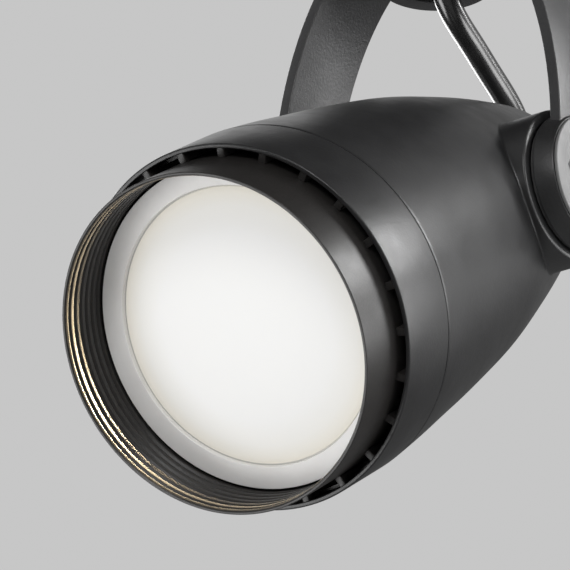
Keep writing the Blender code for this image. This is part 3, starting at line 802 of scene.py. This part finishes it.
BOLT_PROFILE = [
    (36.5, 0.0), (36.5, 3.4), (44.4, 3.4), (44.4, 4.0), (47.8, 4.0),
    (47.8, hexagon(BOLT_R)), (49.9, hexagon(BOLT_R)), (50.2, hexagon(BOLT_R, -0.3)),
    (50.2, hexagon(SOCKET_R, 0.2)), (50.0, hexagon(SOCKET_R)), (48.6, hexagon(SOCKET_R)), (48.6, 0.0),
]
for side, word in SIDES:
    here = pivot_frame(side)
    lathe(f"yoke_drum_{word}", drum_profile(), BLACK_COAT, here, "yoke_frame", [], HEXED)
    lathe(f"pivot_cap_{word}", disc_profile(), DISC_SILVER, here, "yoke_frame", [f"pivot_disc_{word}"],
          HEXED)
    lathe(f"bolt_head_{word}", BOLT_PROFILE, DARK_STEEL, here, "yoke_frame", [f"pivot_bolt_{word}"],
          HEXED, 25.0)

# ---------------------------------------------------------------- swivel hub

hub_profile = rounded([
    (75.5, 11.0), (75.5, 16.8), (90.4, 16.8), (90.4, 9.0), (94.5, 9.0), (94.5, 6.9), (88.0, 6.9),
    (88.0, 11.0),
], [0.35, 0.6, 0.5, 0.1, 0.1, 0.0, 0.0, 0.2])
lathe("hub_cup", hub_profile, YOKE_COAT, PAN, "yoke_frame", ["swivel_hub"], ROUND)
lathe("swivel_pipe", rounded([(84.6, 5.6), (84.6, 6.6), (112.6, 6.6), (112.6, 5.6)], 0.2, 2), STEEL, PAN,
      "yoke_frame", ["swivel_tube"], SMALL)

# ---------------------------------------------------------------- boot

BOOT_MOUTH_Z = 43.0
BOOT_ROOT_S = -53.2
BOOT_MOUTH_R = 4.2
BOOT_NECK_R = 4.55
BOOT_GROOVE = 0.22
BOOT_LIP = 0.25
fine_route = flex_route(330)
mouth = next(i for i, p in enumerate(fine_route) if p.z < BOOT_MOUTH_Z)
sleeve_line = [p for p in fine_route[mouth:] if p.z > 0.0 and p.dot(FORWARD) < BOOT_ROOT_S]


def sleeve_radius(share):
    """Radius of the boot's sleeve from the mouth (0) to the root (1): lip, bend grooves, slow flare."""
    groove = BOOT_GROOVE * max(0.0, math.sin(share * math.pi * 13.0)) if 0.1 < share < 0.75 else 0.0
    lip = BOOT_LIP * max(0.0, 1.0 - abs(share - 0.03) / 0.03)
    return BOOT_NECK_R + 0.25 * share + lip - groove


sleeve_radii = [sleeve_radius(i / (len(sleeve_line) - 1)) for i in range(len(sleeve_line))]
sleeve_radii[0] = BOOT_MOUTH_R
boot_vertices, boot_faces = tube(sleeve_line, sleeve_radii, 40)
piece("boot_sleeve", boot_vertices, boot_faces, RUBBER, PAN, "lamp_head", ["flex_boot"])
flange_profile = [(-59.6, 0.0), (-59.5, 2.0), (-59.1, 4.2), (-58.2, 5.9), (-56.8, 7.2), (-55.2, 8.2),
                  (-53.6, 9.1), (-52.9, 9.6), (-52.4, 9.85), (-52.05, 9.85), (-52.05, 0.0)]
lathe("boot_flange", flange_profile, RUBBER, HEAD @ Matrix.Translation((0.0, 1.5, 0.0)), "lamp_head", [],
      96, 60.0)

# ---------------------------------------------------------------- carried-over CAD pieces


def softened(node, name, finish, body, slot, width):
    """A copy of a CAD node with its hard edges rounded over."""
    source = frame["nodes"][node]
    mesh = source.data.copy()
    mesh.name = name
    work = bmesh.new()
    work.from_mesh(mesh)
    bmesh.ops.remove_doubles(work, verts=work.verts, dist=1e-6)
    bmesh.ops.dissolve_limit(work, angle_limit=math.radians(1.0), verts=work.verts, edges=work.edges)
    work.to_mesh(mesh)
    work.free()
    made = bpy.data.objects.new(name, mesh)
    bpy.context.scene.collection.objects.link(made)
    bevel = made.modifiers.new("edges", "BEVEL")
    bevel.width = width * MM
    bevel.segments = 3
    bevel.limit_method = "ANGLE"
    bevel.angle_limit = math.radians(40.0)
    bevel.use_clamp_overlap = True
    return dress(made, finish, body, [node])


# CAD node, name, finish, body, slot, edge width
SOFTENED = (
    ("adapter_box", "adapter_case", BLACK_COAT, "track_adapter", "black_powder_coat", 0.6),
    ("adapter_cover", "adapter_plate", BLACK_COAT, "track_adapter", "black_powder_coat", 0.4),
    ("lock_lever", "lock_knob", NYLON, "track_lock", "black_anodised", 0.3),
    ("lock_cam", "lock_wing", STEEL, "track_lock", "zinc_steel", 0.3),
    ("contact_lever", "contact_knob", NYLON, "track_contacts", "black_anodised", 0.3),
    ("contact_rotor", "contact_drum", NYLON, "track_contacts", "black_nylon", 0.4),
    ("contact_blade_right", "contact_tab_right", COPPER, "track_contacts", "contact_copper", 0.2),
    ("contact_blade_left", "contact_tab_left", COPPER, "track_contacts", "contact_copper", 0.2),
    ("swivel_nut", "swivel_hex_nut", STEEL, "yoke_frame", "zinc_steel", 0.25),
)
for row in SOFTENED:
    softened(*row)

KEPT = {
    "swivel_washer": NYLON, "driver_board": BOARD, "driver_coil": COIL, "driver_capacitor": CAN,
    "driver_terminal": TERMINAL, "retaining_nut": STEEL, "lens_gasket": SILICONE, "reflector": MIRROR,
    "led_emitter": PHOSPHOR, "led_board": CERAMIC, "thermal_pad": PAD, "led_holder": TERMINAL,
    "mounting_plate": SILVER, "heat_sink": SILVER, "plate_screw_1": STEEL, "plate_screw_2": STEEL,
    "terminal_plate": SILVER, "head_terminal": TERMINAL, "friction_washer_right": NYLON,
    "friction_washer_left": NYLON,
}
for node, finish in KEPT.items():
    kept = frame["nodes"][node]
    kept.data.materials.clear()
    kept.data.materials.append(finish)

# ---------------------------------------------------------------- stage and light

# lengths are in metres from here on
FLOOR_Z = -1.6
FLOOR_HALF = 60.0
floor_mesh = bpy.data.meshes.new("floor")
floor_mesh.from_pydata([
    (-FLOOR_HALF, -FLOOR_HALF, FLOOR_Z), (FLOOR_HALF, -FLOOR_HALF, FLOOR_Z),
    (FLOOR_HALF, FLOOR_HALF, FLOOR_Z), (-FLOOR_HALF, FLOOR_HALF, FLOOR_Z),
], [], [(0, 1, 2, 3)])
floor = bpy.data.objects.new("floor", floor_mesh)
bpy.context.scene.collection.objects.link(floor)
floor_finish = Finish("floor")
floor_tone = floor_finish.blend(floor_finish.noise(400.0, 2.0), (0.72, 0.72, 0.72), (0.76, 0.76, 0.76))
floor_mesh.materials.append(floor_finish.put(Base_Color=floor_tone, Roughness=0.8,
                                              Emission_Color=floor_tone, Emission_Strength=0.4))
floor.visible_glossy = False

LIGHT_AIM = PIVOT * MM + FORWARD * 0.05


def softbox(name, direction, distance, width, height, brightness):
    """Area light aimed at the lamp, with its strength given as surface brightness."""
    data = bpy.data.lights.new(name, "AREA")
    data.shape = "RECTANGLE"
    data.size = width
    data.size_y = height
    data.energy = brightness * math.pi * width * height
    light = bpy.data.objects.new(name, data)
    out = Vector(direction).normalized()
    light.location = LIGHT_AIM + out * distance
    light.rotation_euler = out.to_track_quat("Z", "Y").to_euler()
    light.visible_camera = False
    bpy.context.scene.collection.objects.link(light)


# name, direction from the lamp, distance, width, height, brightness
SOFTBOXES = (
    ("key_softbox", (0.68, 0.54, 0.52), 1.3, 0.36, 0.38, 17.5),
    ("right_back_softbox", (0.68, 0.71, 0.14), 1.3, 0.4, 0.45, 5.5),
    ("back_panel", (0.38, 0.91, 0.18), 1.3, 0.6, 0.5, 0.5),
    ("right_softbox", (0.84, 0.5, -0.14), 1.3, 0.3, 0.5, 4.0),
    ("right_side_softbox", (0.94, 0.08, 0.2), 1.3, 0.35, 0.5, 7.0),
    ("left_softbox", (-0.97, 0.0, 0.1), 1.3, 1.1, 0.9, 5.0),
    ("flex_rim_softbox", (-0.89, 0.45, -0.04), 1.3, 0.4, 0.7, 6.0),
    ("flex_side_softbox", (0.89, 0.3, -0.3), 1.3, 0.35, 0.6, 6.0),
    ("back_left_softbox", (-0.78, 0.46, 0.42), 1.3, 0.4, 0.5, 6.5),
    ("top_left_panel", (-0.55, 0.5, 0.67), 1.3, 0.45, 0.45, 0.6),
    ("low_front_softbox", (-0.56, -0.64, -0.53), 1.6, 0.8, 0.8, 5.0),
    ("right_front_softbox", (0.36, -0.87, 0.28), 1.6, 0.7, 0.5, 11.0),
)
for row in SOFTBOXES:
    softbox(*row)

GLOW_STATION = 57.5  # millimetres
GLOW_CONE = math.radians(72.4)
GLOW_POWER = 3.4
GLOW_SIZE = 0.0015
GLOW_COLOUR = (1.0, 0.8, 0.5)


def lamp_glow():
    """Warm light of the lamp itself, which leaves through the lens opening."""
    data = bpy.data.lights.new("lamp_glow", "SPOT")
    data.spot_size = GLOW_CONE
    data.spot_blend = 0.05
    data.shadow_soft_size = GLOW_SIZE
    data.energy = GLOW_POWER
    data.color = GLOW_COLOUR
    light = bpy.data.objects.new("lamp_glow", data)
    light.location = (PIVOT + FORWARD * GLOW_STATION) * MM
    light.rotation_euler = (-FORWARD).to_track_quat("Z", "Y").to_euler()
    bpy.context.scene.collection.objects.link(light)
    lens.visible_shadow = False


lamp_glow()

# (height of the direction, 0 straight down and 1 straight up; brightness)
SKY = (
    (0.0, 0.3), (0.46, 0.13), (0.54, 0.09), (0.6, 0.17), (0.66, 0.27), (0.77, 0.42), (0.875, 0.4),
    (0.935, 0.05), (1.0, 0.04),
)
BACKDROP = 0.57


def studio_world():
    """Soft surround that lights the lamp by height, behind an even pale backdrop."""
    world = bpy.data.worlds.new("studio")
    bpy.context.scene.world = world
    world.use_nodes = True
    nodes = world.node_tree.nodes
    links = world.node_tree.links
    background = nodes["Background"]
    seen = nodes.new("ShaderNodeBackground")
    seen.inputs["Color"].default_value = (BACKDROP, BACKDROP, BACKDROP, 1.0)
    coords = nodes.new("ShaderNodeTexCoord")
    split = nodes.new("ShaderNodeSeparateXYZ")
    links.new(coords.outputs["Generated"], split.inputs[0])
    shift = nodes.new("ShaderNodeMapRange")
    shift.inputs["From Min"].default_value = -1.0
    links.new(split.outputs["Z"], shift.inputs["Value"])
    sky = nodes.new("ShaderNodeValToRGB")
    links.new(shift.outputs["Result"], sky.inputs["Fac"])
    stops = sky.color_ramp.elements
    while len(stops) < len(SKY):
        stops.new(0.5)
    for stop, (position, value) in zip(stops, SKY):
        stop.position = position
        stop.color = (value, value, value, 1.0)
    links.new(sky.outputs["Color"], background.inputs["Color"])
    path = nodes.new("ShaderNodeLightPath")
    choose = nodes.new("ShaderNodeMixShader")
    links.new(path.outputs["Is Camera Ray"], choose.inputs["Fac"])
    links.new(background.outputs["Background"], choose.inputs[1])
    links.new(seen.outputs["Background"], choose.inputs[2])
    links.new(choose.outputs["Shader"], nodes["World Output"].inputs["Surface"])


studio_world()
bpy.context.scene.view_settings.view_transform = "Standard"
